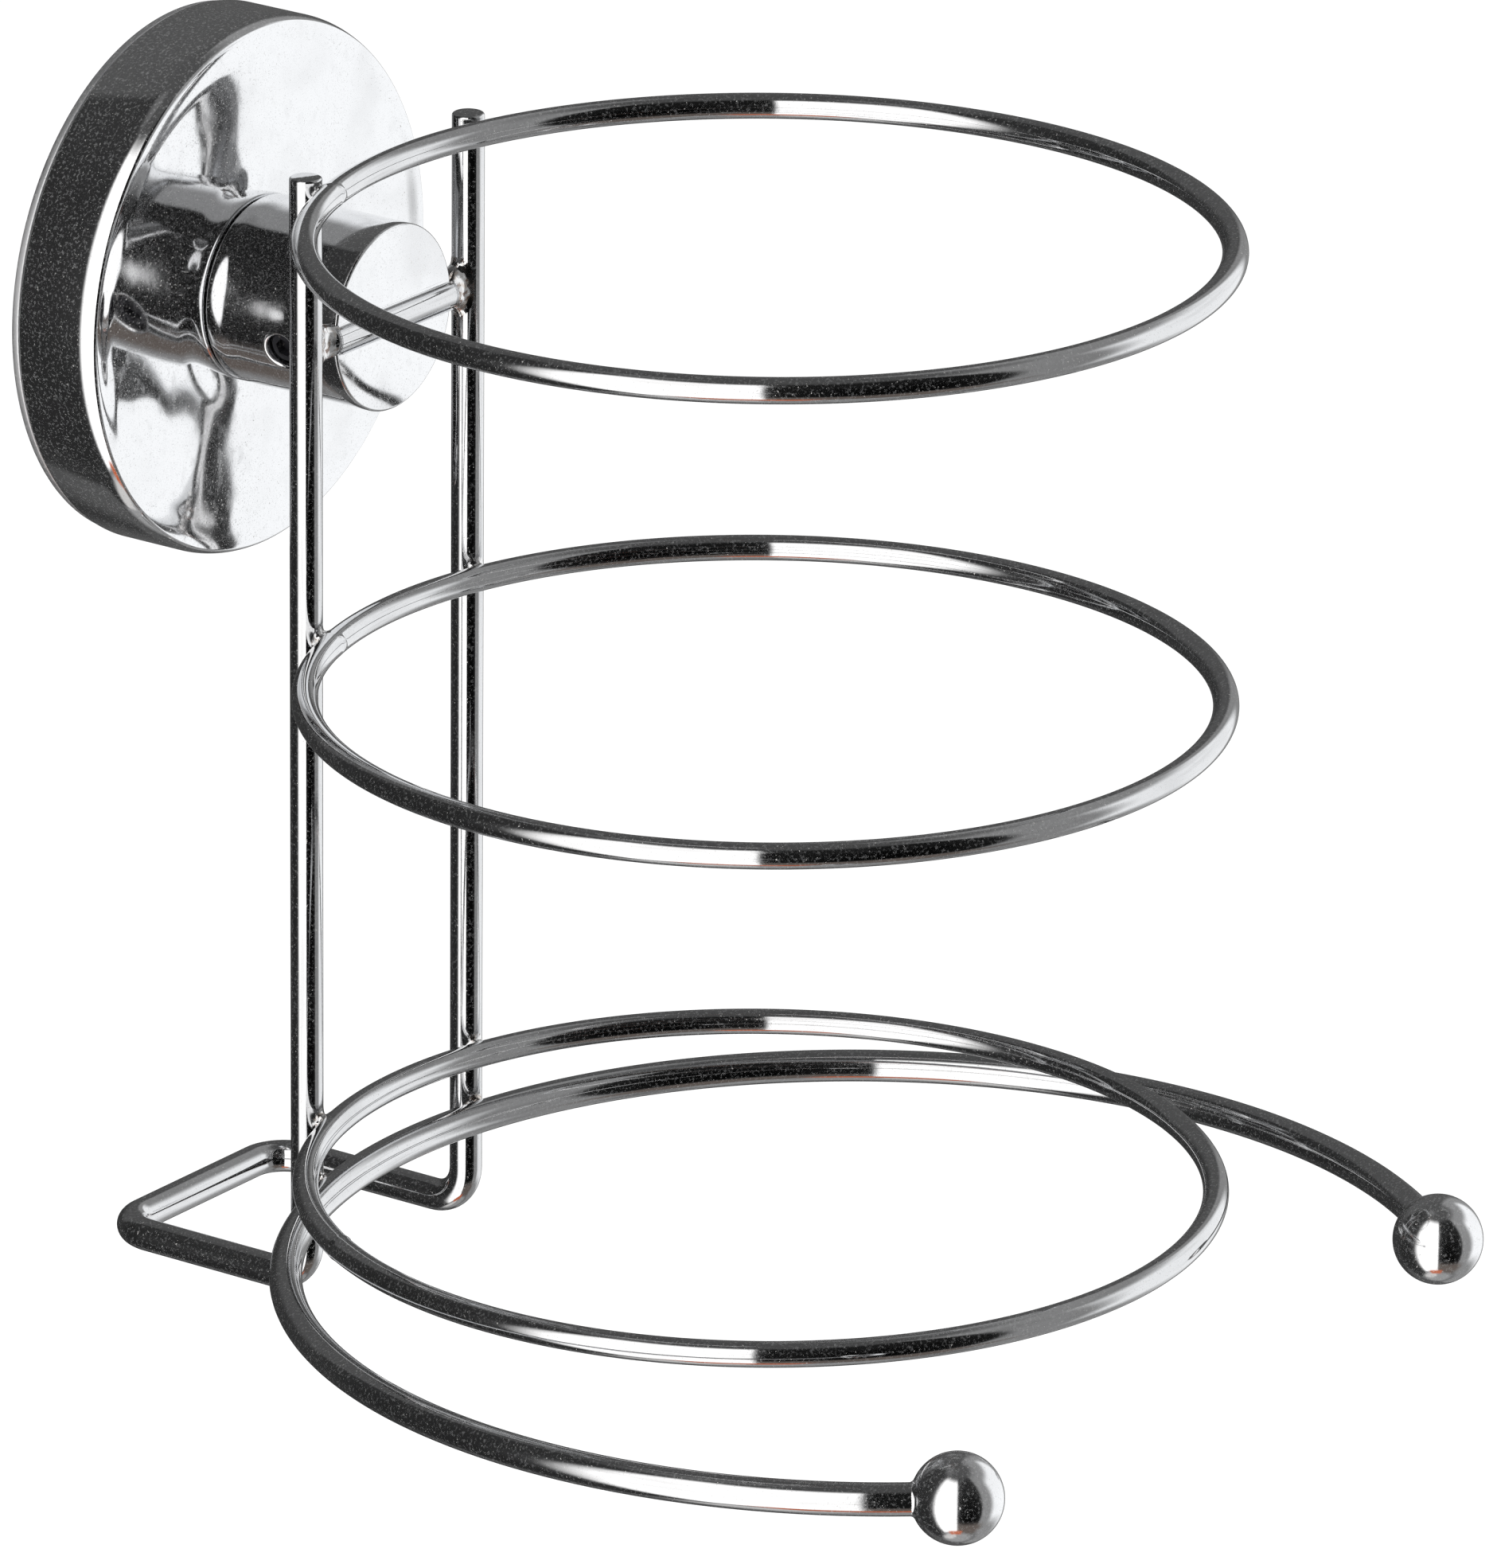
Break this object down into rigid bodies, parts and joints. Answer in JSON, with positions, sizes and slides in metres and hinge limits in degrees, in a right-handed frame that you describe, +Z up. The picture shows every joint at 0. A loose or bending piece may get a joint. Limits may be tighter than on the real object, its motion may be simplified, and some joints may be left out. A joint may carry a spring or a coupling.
{
  "type": "hair dryer holder",
  "caption": "Wall-mounted chromed wire hair dryer holder: suction wall disc, short post, stacked rings for the dryer and an open loop with ball ends for its cord.",
  "frame": {"origin": "on the post's axis at the wall plane, centre of the pad's flat back", "axes": "+X right, +Y into the wall, -Y out of the wall towards the user, +Z up"},
  "size_m": [0.1372, 0.1503, 0.1474],
  "materials": {
    "chrome": "bright plated, mirror-like",
    "zinc": "turned zinc alloy",
    "steel": "plain turned steel",
    "black_oxide": "black oxide",
    "grey_nylon": "moulded nylon",
    "pad_rubber": "smooth translucent grey elastomer"
  },
  "bodies": {
    "wall_unit": {"suction_pad": "pad_rubber", "base_housing": "chrome", "thrust_washer": "steel"},
    "lock_disc": {"rosette_cover": "chrome", "drive_collar": "grey_nylon", "locking_nut": "grey_nylon"},
    "pull_stud": {"pad_stud": "steel", "spigot": "zinc"},
    "holder": {"post_sleeve": "chrome", "cross_bar": "chrome", "frame_wire": "chrome", "ring_top": "chrome", "ring_middle": "chrome", "ring_bottom": "chrome", "cord_cradle": "chrome", "ball_left": "chrome", "ball_right": "chrome"},
    "grub": {"grub_screw": "black_oxide"}
  },
  "joints": [
    {"name": "disc_turn", "type": "hinge", "parent": "wall_unit", "child": "lock_disc", "pos_m": [0, 0, 0], "axis": [0, 1, 0], "range_deg": [0, 300]},
    {"name": "stud_pull", "type": "slide", "parent": "wall_unit", "child": "pull_stud", "axis": [0, -1, 0], "range_m": [0, 0.0025]},
    {"name": "holder_swivel", "type": "hinge", "parent": "pull_stud", "child": "holder", "pos_m": [0, 0, 0], "axis": [0, 1, 0], "range_deg": [-180, 180]},
    {"name": "grub_slide", "type": "slide", "parent": "holder", "child": "grub", "axis": [-0.9659, 0, -0.2588], "range_m": [0, 0.002]}
  ],
  "couplings": [
    {"joint": "disc_turn", "follows": "stud_pull", "rad_per_m": 2094.4}
  ]
}
